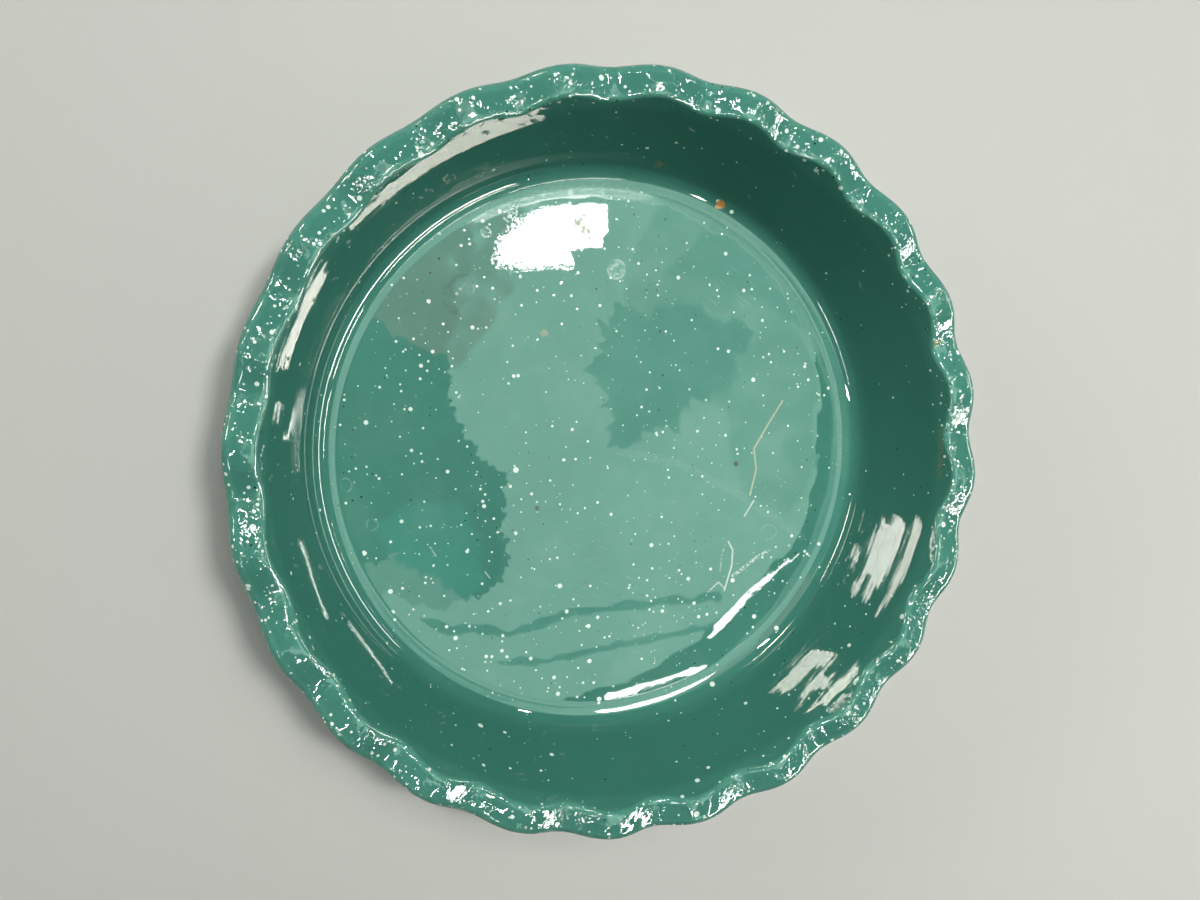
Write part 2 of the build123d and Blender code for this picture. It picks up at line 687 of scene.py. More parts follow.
@dataclass(frozen=True)
class TealGlaze:
    """Glossy teal glaze with pale and dark flecks, and the marks of use on the floor."""

    chalk: Colour = (0.30, 0.46, 0.38)
    roughness: float = 0.014
    marked_roughness: float = 0.45
    index: float = 1.52
    floor_edge: Pair = (98.0, 102.0)
    plain: GlazeColour = GlazeColour()
    crowding: Crowding = Crowding()
    tide: Tide = Tide()
    unevenness: Unevenness = Unevenness()
    clay: BareClay = BareClay()
    film: Clouds = Clouds(size=24.0, low=0.45, high=0.8, detail=4.0, shift=(7.0, 7.0, 7.0))
    film_strength: float = 0.12
    film_dullness: float = 0.1
    washed_direction: float = 135.0
    washed_side: Pair = (0.6, 0.9)
    washed_heights: Band = Band(start=11.5, full=14.5, fade=26.0, end=33.0)
    washed_dullness: float = 0.12
    dried_direction: float = 88.0
    dried_side: Pair = (0.92, 0.97)
    dried_radii: Band = Band(start=97.5, full=98.8, fade=101.6, end=103.0)
    dried_grain: Clouds = Clouds(size=2.5, low=0.3, high=0.7, detail=3.0, shift=(5.0, 0.0, 0.0))
    dried_least: float = 0.6
    dried_more: float = 0.4
    dried_chalk: float = 0.04
    dried_dullness: float = 0.7
    scuff_dullness: float = 0.4
    ring_dullness: float = 1.0
    stroke_dullness: float = 0.8
    worn_lip: Pair = (47.0, 49.0)
    pale_flecks: tuple[Flecks, ...] = (
        Flecks(spacing=3.0, largest=0.60, share=0.46, colour=(0.80, 0.95, 0.87), shift=(0.0, 0.0, 0.0)),
        Flecks(spacing=5.0, largest=0.85, share=0.50, colour=(0.82, 0.96, 0.88), shift=(47.0, 13.0, 19.0)),
        Flecks(spacing=8.0, largest=1.15, share=0.66, colour=(0.84, 0.98, 0.90), shift=(31.0, 7.0, 3.0)),
    )
    dull_flecks: tuple[Flecks, ...] = (
        Flecks(spacing=2.2, largest=0.42, share=0.30, colour=(0.30, 0.56, 0.46), shift=(11.0, 43.0, 9.0)),
        Flecks(spacing=4.2, largest=0.48, share=0.55, colour=(0.012, 0.045, 0.038), shift=(5.0, 17.0, 29.0)),
    )
    strokes: tuple[Stroke, ...] = (
        Stroke(
            corners=((77.4, 4.3), (69.0, -4.3), (61.8, -12.2), (61.2, -20.9), (56.7, -30.5)),
            width=0.9, strength=0.75, broken=0.3, colour=(0.50, 0.50, 0.33),
        ),
        Stroke(corners=((57.9, -33.2), (52.8, -38.5)), width=0.8, strength=0.8, broken=0.4),
        Stroke(
            corners=((44.1, -47.2), (45.3, -51.0), (43.8, -57.2), (38.7, -66.8)),
            width=0.8, strength=0.85, broken=0.3,
        ),
        Stroke(corners=((60.6, -55.1), (54.6, -56.9), (43.5, -61.8)), width=1.6, strength=0.9, broken=0.75),
        Stroke(corners=((31.7, -65.6), (36.9, -62.7), (39.1, -66.2)), width=0.7, strength=0.7, broken=0.5),
        Stroke(corners=((42.4, -48.5), (40.4, -52.0), (38.4, -58.3)), width=0.7, strength=0.5, broken=0.7),
        Stroke(corners=((-72.7, -20.4), (-71.3, -24.3)), width=0.6, strength=0.5, broken=0.4),
        Stroke(corners=((-54.6, -34.9), (-53.3, -37.7)), width=0.6, strength=0.5, broken=0.4),
        Stroke(
            corners=((6.4, -1.3), (29.0, -10.8), (51.3, -28.4), (64.6, -41.3), (75.8, -53.1)),
            width=4.0, strength=0.06, broken=0.6,
        ),
    )
    lip_wear: Stroke = Stroke(
        corners=((119.9, -13.7), (119.2, -18.9), (118.1, -25.1), (116.4, -32.1)),
        width=0.9, strength=0.65, broken=0.8, colour=(0.26, 0.20, 0.10),
    )
    rings: tuple[WaterRing, ...] = (
        WaterRing(centre=(-97.0, 9.5), across=5.0, strength=0.45, stretch=1.4),
        WaterRing(centre=(-91.5, -7.2), across=4.5, strength=0.35),
        WaterRing(centre=(18.7, 67.9), across=7.0, strength=0.5, filled=0.9),
        WaterRing(centre=(-17.9, 95.5), across=6.5, strength=0.35, filled=1.0),
        WaterRing(centre=(-28.1, 90.0), across=3.5, strength=0.4, filled=0.5),
        WaterRing(centre=(-38.8, 70.9), across=4.5, strength=0.35, filled=0.8),
        WaterRing(centre=(62.0, -47.5), across=6.5, strength=0.3),
    )
    stains: tuple[Stain, ...] = (
        Stain(
            centre=(-30.1, -15.4, 7.5), across=1.9, colour=(0.030, 0.035, 0.020), strength=0.9, ragged=0.15,
        ),
        Stain(
            centre=(53.0, -16.6, 7.5), across=2.2, colour=(0.030, 0.030, 0.015), strength=0.95, ragged=0.15,
        ),
        Stain(centre=(63.9, 85.7, 9.5), across=4.2, colour=(0.62, 0.26, 0.045), strength=0.9),
        Stain(centre=(-13.6, 49.6, 7.5), across=3.2, colour=(0.34, 0.24, 0.12), strength=0.45, ragged=0.9),
        Stain(centre=(40.0, 102.7, 16.6), across=4.5, colour=(0.30, 0.22, 0.11), strength=0.5, ragged=0.7),
        Stain(centre=(121.5, 18.2, 53.0), across=3.6, colour=(0.52, 0.42, 0.16), strength=0.8, ragged=0.6),
        # A soft patch of darker teal on the floor, which leaves the shine as it is.
        Stain(
            centre=(-42.0, 70.0, 7.5), across=13.0, colour=(0.040, 0.150, 0.120), strength=0.55, ragged=0.7,
            dull=0.0,
        ),
    )
    scuffs: tuple[Scuff, ...] = (
        Scuff(centre=(68.0, 46.0), reach=22.0, direction=-52.0, strength=0.45),
        Scuff(centre=(-10.0, -40.0), reach=30.0, direction=-35.0, strength=0.30),
        Scuff(centre=(-35.0, -30.0), reach=22.0, direction=-50.0, strength=0.28),
        Scuff(centre=(45.0, 15.0), reach=30.0, direction=20.0, strength=0.16),
        Scuff(centre=(5.0, 45.0), reach=30.0, direction=35.0, strength=0.16),
    )

    def spot(self, board: Board) -> Surface:
        """Reads the place on the dish.

        Args:
            board: The material's board.

        Returns:
            The place, with what the mesh says about it.
        """
        place = board.node("ShaderNodeTexCoord", {}, {}).outputs["Object"]
        point = board.scaled(place, 1 / MM)
        flat = board.vector("MULTIPLY", point, (1.0, 1.0, 0.0))
        height = board.dot(point, (0.0, 0.0, 1.0))
        told = [
            board.value("ShaderNodeAttribute", {"attribute_name": name}, {}, "Fac")
            for name in ("inside", "thin", "pooled", "along")
        ]
        return Surface(point, flat, height, board.length(flat), *told)

    def washed(self, board: Board, spot: Surface) -> Signal:
        """The part low on one side's wall where washing has taken the shine."""
        side = facing(board, spot, self.washed_direction).rising(*self.washed_side)
        return spot.inside * self.washed_heights.over(spot.height) * side * self.washed_dullness

    def dried(self, board: Board, spot: Surface) -> Signal:
        """The dull film on the floor's edge next to the bright window's reflection.

        Args:
            board: The material's board.
            spot: The place on the surface.

        Returns:
            The film's strength, or nought away from it.
        """
        side = facing(board, spot, self.dried_direction).rising(*self.dried_side)
        grain = self.dried_least + self.dried_more * self.dried_grain.over(board, spot.point)
        return spot.inside * self.dried_radii.over(spot.radius) * grain * side

    def flecked(
        self,
        board: Board,
        spot: Surface,
        colour: bpy.types.NodeSocket,
        crowding: Signal,
    ) -> tuple[bpy.types.NodeSocket, Signal]:
        """Scatters the flecks over a colour.

        Args:
            board: The material's board.
            spot: The place on the surface.
            colour: The colour without flecks.
            crowding: How thickly they lie.

        Returns:
            The flecked colour, and how far up a pale fleck's dome the place is.
        """
        raised: Number = 0.0
        for flecks in self.dull_flecks:
            shown, _ = flecks.spread(board, spot.point, crowding)
            colour = board.blended(colour, flecks.colour, shown)
        for flecks in self.pale_flecks:
            shown, dome = flecks.spread(board, spot.point, crowding)
            colour = board.blended(colour, flecks.colour, shown)
            raised = dome + raised
        return colour, raised

    def marks(self, board: Board, spot: Surface, floor: Signal) -> list[tuple[Signal, Colour, float]]:
        """The marks of use, in the order in which they lie on each other.

        Args:
            board: The material's board.
            spot: The place on the surface.
            floor: One on the floor of the bowl.

        Returns:
            Where each mark shows, its colour and how dull it is.
        """
        low = [(scuff.mask(board, spot), self.chalk, self.scuff_dullness) for scuff in self.scuffs]
        low += [(ring.mask(board, spot), self.chalk, self.ring_dullness) for ring in self.rings]
        low += [(stroke.mask(board, spot), stroke.colour, self.stroke_dullness) for stroke in self.strokes]
        marks = [(shown * floor, tint, dullness) for shown, tint, dullness in low]
        worn = self.lip_wear.mask(board, spot) * spot.height.rising(*self.worn_lip)
        marks.append((worn, self.lip_wear.colour, 0.0))
        marks += [(stain.mask(board, spot) * spot.inside, stain.colour, stain.dull) for stain in self.stains]
        return marks

    def material(self) -> bpy.types.Material:
        """Builds the material.

        Returns:
            The glaze, with bare clay on the foot.
        """
        material, board = new_material("speckled_teal_glaze")
        spot = self.spot(board)
        floor = spot.inside * spot.radius.falling(*self.floor_edge)
        film = floor * self.film.over(board, spot.point) * self.film_strength
        tide = self.tide.mask(board, spot)
        dried = self.dried(board, spot)
        colour = self.plain.colour(board, spot)
        colour = board.blended(colour, self.chalk, film + tide + dried * self.dried_chalk)
        rough = film * self.film_dullness + tide + self.washed(board, spot) + dried * self.dried_dullness
        crowding = self.crowding.over(board, spot, floor)
        colour, raised = self.flecked(board, spot, colour, crowding)
        for shown, tint, dullness in self.marks(board, spot, floor):
            colour = board.blended(colour, tint, shown)
            if dullness > 0:
                rough = rough.larger(shown * dullness)
        bare = self.clay.mask(board, spot)
        colour = board.blended(colour, self.clay.colour(board, spot), bare)
        glossy = self.roughness + rough * (self.marked_roughness - self.roughness)
        shader = board.node("ShaderNodeBsdfPrincipled", {}, {
            "Base Color": colour,
            "Roughness": glossy + bare * (self.clay.roughness - self.roughness),
            "IOR": self.index,
            "Normal": self.unevenness.normal(board, spot, raised),
        })
        board.node("ShaderNodeOutputMaterial", {}, {"Surface": shader.outputs["BSDF"]})
        return material


@dataclass(frozen=True)
class PaleFloor:
    """The plain pale surface that the dish stands on."""

    colour: Colour = (0.56, 0.56, 0.545)
    cloud_size: float = 400.0
    cloud_shade: float = 0.96
    roughness: float = 0.65
    backdrop: float = 0.5
    near: float = 500.0
    far: float = 1800.0

    def material(self) -> bpy.types.Material:
        """Builds the material, which the camera sees run into the backdrop far away.

        Returns:
            The floor's material.
        """
        material, board = new_material("pale_floor")
        place = board.node("ShaderNodeTexCoord", {}, {}).outputs["Object"]
        clouds = board.noise(place, self.cloud_size * MM, detail=3.0)
        darker = tuple(part * self.cloud_shade for part in self.colour)
        shade = board.blended(self.colour, darker, clouds)
        sockets = {"Base Color": shade, "Roughness": self.roughness}
        floor = board.node("ShaderNodeBsdfPrincipled", {}, sockets).outputs["BSDF"]
        seen = board.value("ShaderNodeLightPath", {}, {}, "Is Camera Ray")
        share = board.length(place).rising(self.near * MM, self.far * MM) * seen
        plain = board.node("ShaderNodeEmission", {}, {"Strength": self.backdrop}).outputs["Emission"]
        mixed = board.node("ShaderNodeMixShader", {}, {0: share, 1: floor, 2: plain}).outputs["Shader"]
        board.node("ShaderNodeOutputMaterial", {}, {"Surface": mixed})
        return material


# The dish


class Side(Enum):
    """The two sides of the dish, each with the middle and the size of its disc in the map."""

    OUTSIDE = (0.785, 0.785, 0.205)
    INSIDE = (0.380, 0.380, 0.372)


def arc(centre: Pair, radius: float, start: float, end: float, steps: int) -> np.ndarray:
    """Points on a round stretch of the section, between two directions counted from straight outwards."""
    turns = np.radians(np.linspace(start, end, steps + 1))
    return np.column_stack((centre[0] + radius * np.cos(turns), centre[1] + radius * np.sin(turns)))


def line(start: Sequence[float], end: Sequence[float], steps: int) -> np.ndarray:
    """Points on a straight stretch of the section, closest together at its ends, where the shading turns."""
    way = (1 - np.cos(np.linspace(0, pi, steps + 1))) / 2
    return np.array(start) + way[:, None] * (np.array(end) - np.array(start))


def softened(corners: Sequence[Sequence[float]], cut: float, steps: int) -> np.ndarray:
    """A line with rounded corners.

    Args:
        corners: The line's corners, as radius and height.
        cut: How far from a corner its rounding starts.
        steps: How many parts each rounding has.

    Returns:
        One row for each point.
    """
    corners = [np.array(corner, float) for corner in corners]
    points = [corners[0]]
    for before, corner, after in zip(corners, corners[1:], corners[2:]):
        start = corner + (before - corner) * cut / np.linalg.norm(before - corner)
        end = corner + (after - corner) * cut / np.linalg.norm(after - corner)
        for way in np.linspace(0, 1, steps + 1):
            points.append((1 - way) ** 2 * start + 2 * way * (1 - way) * corner + way**2 * end)
    points.append(corners[-1])
    return np.array(points)


def eased(way: np.ndarray) -> np.ndarray:
    """A smooth step from 0 to 1."""
    held = np.clip(way, 0, 1)
    return held * held * (3 - 2 * held)


def lengths(points: np.ndarray) -> np.ndarray:
    """How far along a line each of its points is."""
    steps = np.linalg.norm(np.diff(points, axis=0), axis=1)
    return np.concatenate(([0.0], np.cumsum(steps)))


class Steps(NamedTuple):
    """How many parts each stretch of the section is cut into."""

    base: int = 9
    foot_corner: int = 4
    heel: int = 14
    outer_wall: int = 26
    hollow: int = 10
    underside: int = 3
    lower_edge: int = 9
    upper_edge: int = 10
    top: int = 10
    inner_edge: int = 14
    fade: int = 14
    inner_wall: int = 18
    cove: tuple[int, int, int] = (8, 6, 16)
    floor: int = 26


@dataclass(frozen=True)
class Stretch:
    """A part of the section, with the share of the flutes that each point takes and how far they swell it."""

    points: np.ndarray
    share: np.ndarray
    swell: np.ndarray
    side: Side

    @classmethod
    def plain(cls, points: np.ndarray, side: Side) -> "Stretch":
        """A stretch that the flutes don't reach."""
        nothing = np.zeros(len(points))
        return cls(points, nothing, nothing, side)


@dataclass(frozen=True)
class Flutes:
    """The waves of the lip."""

    count: int = 24
    rise: float = 2.2
    edge_swell: float = 0.3
    broadness: float = 0.07
    unevenness: float = 0.10
    drift: float = 0.5
    drift_waves: tuple[int, ...] = (3, 5, 7, 11)
    height_waves: tuple[int, ...] = (2, 5, 9, 13)
    seed: int = 11

    def waver(self, angles: np.ndarray, parts: Sequence[int], generator: np.random.Generator) -> np.ndarray:
        """A smooth random line from 0 to 1, in which each part has that many waves in a full turn."""
        total = sum(np.cos(part * angles + generator.uniform(0, FULL_TURN)) for part in parts)
        return (total - total.min()) / (total.max() - total.min())

    def wave(self, angles: np.ndarray) -> np.ndarray:
        """How high the lip stands round the dish.

        Args:
            angles: Where it is read.

        Returns:
            From -1 in a trough to 1 on a crest, with crests a little broader than troughs.
        """
        generator = np.random.default_rng(self.seed)
        turned = angles + radians(self.drift) * (self.waver(angles, self.drift_waves, generator) - 0.5)
        phase = self.count * turned
        wave = np.cos(phase) + self.broadness * (1 - np.cos(2 * phase))
        return wave * (1 - self.unevenness * self.waver(angles, self.height_waves, generator))


@dataclass
class StonewareDish:
    """The dish: foot, heel, leaning wall, fluted lip, cove and floor in one closed skin."""

    rim_radius: float = 133.0
    inside_depth: float = 46.0
    wall_lean: float = 18.0
    wall_thickness: float = 5.5
    floor_thickness: float = 5.5
    cove_start_radius: float = 9.0
    cove_ledge_radius: float = 38.0
    cove_end_radius: float = 7.0
    cove_ledge: Pair = (17.5, 21.0)
    heel_radius: float = 13.5
    lip_thickness: float = 6.0
    lip_overhang: float = 7.0
    inner_rounding: float = 2.2
    crown: float = 0.36
    root_fillet: float = 4.0
    inside_reach: float = 12.0
    outside_reach: float = 6.0
    foot_height: float = 2.0
    foot_width: float = 6.0
    foot_draft: float = 1.0
    foot_inset: float = 3.5
    foot_run: float = 4.0
    foot_rounding: float = 0.8
    hollow_delay: float = 1.5
    points_round: int = 576
    same_point: float = 1e-6
    bend_smoothing: int = 3
    thin_per_bend: float = 3.2
    pooled_per_bend: float = 5.0
    steps: Steps = Steps()
    flutes: Flutes = Flutes()
    glaze: TealGlaze = TealGlaze()

    @property
    def lean(self) -> float:
        """The wall's angle from upright, in radians."""
        return radians(self.wall_lean)

    @property
    def floor_height(self) -> float:
        """How high the floor of the bowl is."""
        return self.foot_height + self.floor_thickness

    @property
    def lip_top(self) -> float:
        """The mean height of the lip's top."""
        return self.floor_height + self.inside_depth

    @property
    def lip_underside(self) -> float:
        """The mean height of the lip's underside."""
        return self.lip_top - self.lip_thickness

    @property
    def root_centre(self) -> Pair:
        """The centre of the hollow curve under the lip."""
        height = self.lip_underside - self.root_fillet
        return self.outer_wall(height) + self.root_fillet / cos(self.lean), height

    def outer_wall(self, height: float) -> float:
        """The radius of the wall's outside at a height."""
        return self.rim_radius - self.lip_overhang - (self.lip_underside - height) * tan(self.lean)

    def inner_wall(self, height: float) -> float:
        """The radius of the wall's inside at a height."""
        return self.outer_wall(height) - self.wall_thickness / cos(self.lean)

    def base(self) -> Stretch:
        """The underside, with the foot.

        Returns:
            The stretch from the axis to the heel.
        """
        start = self.corner_centre(self.heel_radius, self.foot_height, self.outer_wall)[0]
        outer = start - self.foot_inset
        inner = outer - self.foot_width
        before = inner - self.foot_run
        middle = line((0.0, self.foot_height), (before, self.foot_height), self.steps.base)
        foot = softened(
            (
                (before, self.foot_height),
                (inner, self.foot_height),
                (inner + self.foot_draft, 0.0),
                (outer - self.foot_draft, 0.0),
                (outer, self.foot_height),
                (start, self.foot_height),
            ),
            cut=self.foot_rounding,
            steps=self.steps.foot_corner,
        )
        return Stretch.plain(np.concatenate((middle, foot)), Side.OUTSIDE)

    def corner_centre(self, radius: float, height: float, wall: Callable[[float], float]) -> Pair:
        """The centre of the curve between a flat bottom at a height and a leaning wall."""
        return wall(height + radius) - radius / cos(self.lean), height + radius

    def outside(self) -> Stretch:
        """The heel, the wall's outside and the hollow under the lip.

        Returns:
            The stretch from the base to the lip, whose upper end takes the flutes.
        """
        heel_centre = self.corner_centre(self.heel_radius, self.foot_height, self.outer_wall)
        heel = arc(heel_centre, self.heel_radius, -90, -self.wall_lean, self.steps.heel)
        hollow = arc(self.root_centre, self.root_fillet, 180 - self.wall_lean, 90, self.steps.hollow)
        wall = line(heel[-1], hollow[0], self.steps.outer_wall)
        points = np.concatenate((heel, wall, hollow))
        way = lengths(points)
        start = way[len(heel) + len(wall)] - self.outside_reach
        share = eased(((way - start) / (way[-1] - start)).clip(0, 1) ** self.hollow_delay)
        swell = np.full(len(points), self.flutes.edge_swell)
        return Stretch(points, share, swell, Side.OUTSIDE)

    def lip(self) -> tuple[Stretch, Stretch]:
        """The lip's outer edge, in two halves that meet where the dish is widest.

        Returns:
            The lower half with the lip's underside, and the upper half.
        """
        half = self.lip_thickness / 2
        centre = (self.rim_radius - half, self.lip_top - half)
        root = (self.root_centre[0], self.lip_underside)
        under = line(root, (centre[0], self.lip_underside), self.steps.underside)
        lower = np.concatenate((under, arc(centre, half, -90, 0, self.steps.lower_edge)))
        upper = arc(centre, half, 0, 90, self.steps.upper_edge)
        upper = self.crowned(upper, (upper[:, 1] - centre[1]) / half)
        stretches = []
        for points, side in ((lower, Side.OUTSIDE), (upper, Side.INSIDE)):
            every = np.ones(len(points))
            stretches.append(Stretch(points, every, every * self.flutes.edge_swell, side))
        return stretches[0], stretches[1]

    def crowned(self, points: np.ndarray, share: np.ndarray) -> np.ndarray:
        """Rounds the lip's top over, so that it falls away to both of its edges.

        Args:
            points: A stretch of the lip.
            share: How much of the fall each point takes.

        Returns:
            The stretch with its edges lower.
        """
        inner = self.inner_wall(self.lip_top)
        half = (self.rim_radius - inner) / 2
        fall = self.crown * ((points[:, 0] - inner - half) / half) ** 2 * share
        return points - np.column_stack((np.zeros(len(points)), fall))

    def inside(self) -> tuple[Stretch, Stretch]:
        """The inside, from the lip's top down to the middle of the floor.

        Returns:
            The lip's top with the fluted wall under it, and the plain wall, cove and floor.
        """
        turn_height = self.lip_top - self.inner_rounding
        turn_centre = (self.inner_wall(turn_height) + self.inner_rounding / cos(self.lean), turn_height)
        rounding = arc(turn_centre, self.inner_rounding, 90, 180 - self.wall_lean, self.steps.inner_edge)
        top = line((self.rim_radius - self.lip_thickness / 2, self.lip_top), rounding[0], self.steps.top)
        top = self.crowned(top, np.ones(len(top)))
        rounding = self.crowned(rounding, 1 - eased(np.linspace(0, 1, len(rounding))))
        end = rounding[-1][1] - self.inside_reach
        fade = line(rounding[-1], (self.inner_wall(end), end), self.steps.fade)
        points = np.concatenate((top, rounding, fade))
        way = lengths(points)
        before = way[len(top) + len(rounding) - 1]
        share = 1 - eased((way - before) / (way[-1] - before))
        across = eased(way / way[len(top) - 1])
        inner_swell = self.flutes.rise * tan(self.lean)
        swell = self.flutes.edge_swell + (inner_swell - self.flutes.edge_swell) * across
        cove = self.cove()
        wall = line(fade[-1], cove[0], self.steps.inner_wall)
        floor = line(cove[-1], (0.0, self.floor_height), self.steps.floor)
        bowl = Stretch.plain(np.concatenate((wall, cove, floor)), Side.INSIDE)
        return Stretch(points, share, swell, Side.INSIDE), bowl

    def cove(self) -> np.ndarray:
        """The curve between the wall and the floor, which starts gently and lingers on a shallow slope.

        Returns:
            One row of radius and height for each point, from the wall down.
        """
        low, high = self.cove_ledge
        spans = (
            (0.0, low, self.cove_start_radius),
            (low, high, self.cove_ledge_radius),
            (high, 90.0 - self.wall_lean, self.cove_end_radius),
        )
        points = [np.array((0.0, self.floor_height))]
        for (start, end, radius), steps in zip(spans, self.steps.cove):
            turns = np.radians(np.linspace(start, end, steps + 1))
            across = radius * (np.sin(turns) - np.sin(turns[0]))
            up = radius * (np.cos(turns[0]) - np.cos(turns))
            points += list(points[-1] + np.column_stack((across, up))[1:])
        curve = np.array(points[::-1])
        return curve + (self.inner_wall(curve[0][1]) - curve[0][0], 0.0)

    def mesh(self) -> bpy.types.Mesh:
        """Turns the section into a closed skin round the axis.

        Returns:
            The mesh, with its map and what the glaze reads.
        """
        stretches = [self.base(), self.outside(), *self.lip(), *self.inside()]
        points = np.concatenate([stretch.points for stretch in stretches])
        share = np.concatenate([stretch.share for stretch in stretches])
        swell = np.concatenate([stretch.swell for stretch in stretches])
        sides = [np.full(len(stretch.points), stretch.side is Side.INSIDE, float) for stretch in stretches]
        inside = np.concatenate(sides)
        moved = np.linalg.norm(np.diff(points, axis=0), axis=1)
        kept = np.concatenate(([True], moved > self.same_point))
        points, share, swell, inside = points[kept], share[kept], swell[kept], inside[kept]
        way = lengths(points)
        bend = self.bend(points, way)
        angles = np.arange(self.points_round) * FULL_TURN / self.points_round
        wave = self.flutes.wave(angles)
        radius = points[:, :1] + (swell * share)[:, None] * wave
        height = points[:, 1:] + (self.flutes.rise * share)[:, None] * wave
        rings = np.stack((radius * np.cos(angles), radius * np.sin(angles), height), axis=-1)
        vertices = np.concatenate((rings[0, :1], rings[1:-1].reshape(-1, 3), rings[-1, :1])) * MM
        faces, rows, columns = self.faces(len(points))
        mesh = bpy.data.meshes.new(DISH_NODE)
        mesh.from_pydata(vertices.tolist(), [], faces)
        mesh.shade_smooth()
        told = {
            "inside": inside,
            "thin": np.clip(bend * self.thin_per_bend, 0, 1),
            "pooled": np.clip(-bend * self.pooled_per_bend, 0, 1),
            "along": way,
        }
        for name, values in told.items():
            spread = np.concatenate((values[:1], np.repeat(values[1:-1], self.points_round), values[-1:]))
            layer = mesh.attributes.new(name, "FLOAT", "POINT")
            layer.data.foreach_set("value", spread.astype(np.float32))
        self.map_out(mesh, way, inside, rows, columns)
        return mesh

    def bend(self, points: np.ndarray, way: np.ndarray) -> np.ndarray:
        """How sharply the section turns at each point, outwards being positive.

        Args:
            points: The section.
            way: How far along it each point is.

        Returns:
            The turn for each millimetre, in radians.
        """
        steps = np.diff(points, axis=0)
        headings = np.unwrap(np.arctan2(steps[:, 1], steps[:, 0]))
        middles = (way[1:] + way[:-1]) / 2
        bend = np.zeros(len(points))
        bend[1:-1] = np.diff(headings) / np.maximum(np.diff(middles), self.same_point)
        for _ in range(self.bend_smoothing):
            bend[1:-1] = (bend[:-2] + 2 * bend[1:-1] + bend[2:]) / 4
        return bend

    def faces(self, count: int) -> tuple[list[Corners], list[Corners], list[Corners]]:
        """The faces between the rings, with a fan at each end.

        Args:
            count: How many points the section has, with one on the axis at each end.

        Returns:
            The faces, and each corner's place along the section and round the dish.
        """
        around = self.points_round
        last = (count - 2) * around + 1
        faces, rows, columns = [], [], []
        for step in range(around):
            after = (step + 1) % around
            faces.append((0, 1 + after, 1 + step))
            rows.append((0, 1, 1))
            columns.append((step, step + 1, step))
        for row in range(1, count - 2):
            lower = 1 + (row - 1) * around
            upper = lower + around
            for step in range(around):
                after = (step + 1) % around
                faces.append((lower + step, lower + after, upper + after, upper + step))
                rows.append((row, row, row + 1, row + 1))
                columns.append((step, step + 1, step + 1, step))
        end = 1 + (count - 3) * around
        for step in range(around):
            faces.append((end + step, end + (step + 1) % around, last))
            rows.append((count - 2, count - 2, count - 1))
            columns.append((step, step + 1, step))
        return faces, rows, columns

    def map_out(
        self,
        mesh: bpy.types.Mesh,
        way: np.ndarray,
        inside: np.ndarray,
        rows: list[Corners],
        columns: list[Corners],
    ) -> None:
        """Lays the two sides of the dish out as discs.

        Args:
            mesh: The mesh that gets the map.
            way: How far along the section each point is.
            inside: One for the points of the inside.
            rows: Each face corner's place along the section.
            columns: Each face corner's place round the dish.
        """
        border = int(np.argmax(inside > 0)) - 1
        spans = {Side.OUTSIDE: (0.0, way[border + 1]), Side.INSIDE: (way[-1], way[-1] - way[border])}
        laid = []
        for row, column in zip(rows, columns):
            side = Side.INSIDE if min(row) > border else Side.OUTSIDE
            middle_x, middle_y, size = side.value
            origin, span = spans[side]
            for place, step in zip(row, column):
                far = abs(way[place] - origin) / span * size
                angle = step * FULL_TURN / self.points_round
                laid += [middle_x + far * cos(angle), middle_y + far * sin(angle)]
        layer = mesh.uv_layers.new(name=BAKE_MAP)
        layer.data.foreach_set("uv", np.array(laid, np.float32))

    def build(self) -> bpy.types.Object:
        """Makes the dish, dresses it and puts it on its CAD body.

        Returns:
            The dish.
        """
        mesh = self.mesh()
        mesh.materials.append(self.glaze.material())
        dish = bpy.data.objects.new("fluted_pie_dish", mesh)
        bpy.context.scene.collection.objects.link(dish)
        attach(dish, BODY)
        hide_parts(DISH_NODE)
        return dish


# The studio


def flat_sheet(name: str, corners: Sequence[Place], material: bpy.types.Material) -> bpy.types.Object:
    """Makes a flat sheet of one face.

    Args:
        name: The sheet's name.
        corners: Its corners, in metres.
        material: What it is made of.

    Returns:
        The sheet.
    """
    mesh = bpy.data.meshes.new(name)
    mesh.from_pydata(corners, [], [tuple(range(len(corners)))])
    mesh.materials.append(material)
    sheet = bpy.data.objects.new(name, mesh)
    bpy.context.scene.collection.objects.link(sheet)
    return sheet


class Use(Enum):
    """What a lamp does: it lights the dish, or it is mirrored in the glaze."""

    LIGHTS = (True, False)
    MIRRORED = (False, True)


@dataclass(frozen=True)
class Lamp:
    """A flat oblong lamp that runs from one place to another and faces the dish."""

    name: str
    start: Place
    end: Place
    depth: float
    radiance: float
    use: Use = Use.MIRRORED
    colour: Colour = (1.0, 1.0, 0.94)

    def build(self) -> bpy.types.Object:
        """Hangs the lamp.

        Returns:
            The lamp, which the camera doesn't see.
        """
        start, end = Vector(self.start) * MM, Vector(self.end) * MM
        middle = (start + end) / 2
        along = (end - start).normalized()
        back = middle.normalized()
        back = (back - along * back.dot(along)).normalized()
        side = back.cross(along)
        light = bpy.data.lights.new(self.name, "AREA")
        light.shape = "RECTANGLE"
        light.size = (end - start).length
        light.size_y = self.depth * MM
        light.energy = self.radiance * pi * light.size * light.size_y
        light.color = self.colour
        lamp = bpy.data.objects.new(self.name, light)
        turn = Matrix((along, side, back)).transposed()
        lamp.matrix_world = Matrix.Translation(middle) @ turn.to_4x4()
        lamp.visible_camera = False
        lamp.visible_diffuse, lamp.visible_glossy = self.use.value
        bpy.context.scene.collection.objects.link(lamp)
        return lamp


